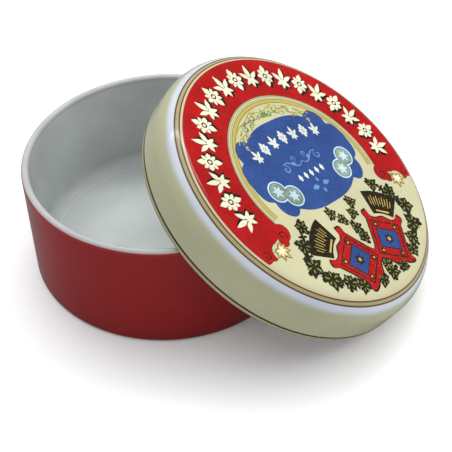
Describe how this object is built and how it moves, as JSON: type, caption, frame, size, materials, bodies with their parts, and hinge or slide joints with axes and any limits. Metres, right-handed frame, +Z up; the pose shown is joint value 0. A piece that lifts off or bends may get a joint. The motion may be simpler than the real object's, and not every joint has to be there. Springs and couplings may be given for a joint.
{
  "type": "lidded cheese baker",
  "caption": "Round straight-walled dish in glazed ceramic with a cap lid leaning off its rim, for baking, serving and keeping a soft round cheese.",
  "frame": {"origin": "under the middle of the whole set's bounding box, on the surface that it rests on", "axes": "+Z up; +X from the dish towards the edge of the lid that is down on the table; +Y to complete a right-handed frame"},
  "size_m": [0.1756, 0.133, 0.0851],
  "materials": {
    "dish_glaze": "gloss",
    "lid_glaze": "gloss",
    "lid_print": "gloss"
  },
  "bodies": {
    "root": {"dish": "dish_glaze", "lid": "lid_glaze"}
  },
  "joints": []
}
